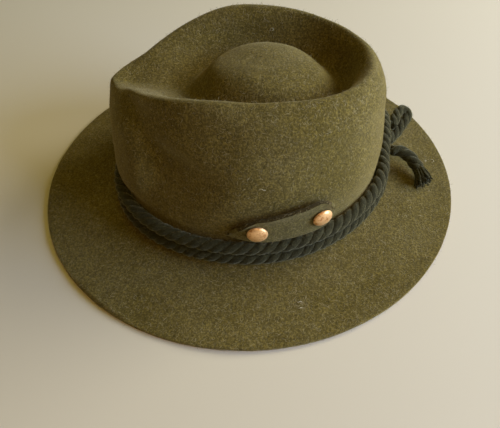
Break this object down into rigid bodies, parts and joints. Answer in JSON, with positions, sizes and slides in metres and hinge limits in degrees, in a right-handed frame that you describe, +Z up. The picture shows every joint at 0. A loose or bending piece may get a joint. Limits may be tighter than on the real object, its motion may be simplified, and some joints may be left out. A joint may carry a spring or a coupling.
{
  "type": "fedora",
  "caption": "Felt fedora with a teardrop crown and pinched front, nearly flat brim, double twisted cord band with loop and tail, and a felt side tab with domed studs.",
  "frame": {"origin": "on the surface the brim rests on, under the middle of the hat's box", "axes": "+Z up out of the crown, +Y from the front of the hat to the back, +X towards the wearer's left, where the tab is"},
  "size_m": [0.3128, 0.3196, 0.1145],
  "materials": {
    "felt": "olive wool felt with short loose hairs, matt",
    "tab_felt": "the same felt with cut edges, matt",
    "cord": "dark green-grey twisted cord of three strands, fuzzy, matt",
    "stud_copper": "copper coloured domed metal, worn, half gloss"
  },
  "bodies": {
    "root": {"felt_body": "felt", "band_turn_lower": "cord", "band_turn_upper": "cord", "cord_loop": "cord", "cord_tail": "cord", "tail_knob": "cord", "side_tab": "tab_felt", "stud_front": "stud_copper", "stud_rear": "stud_copper"}
  },
  "joints": []
}
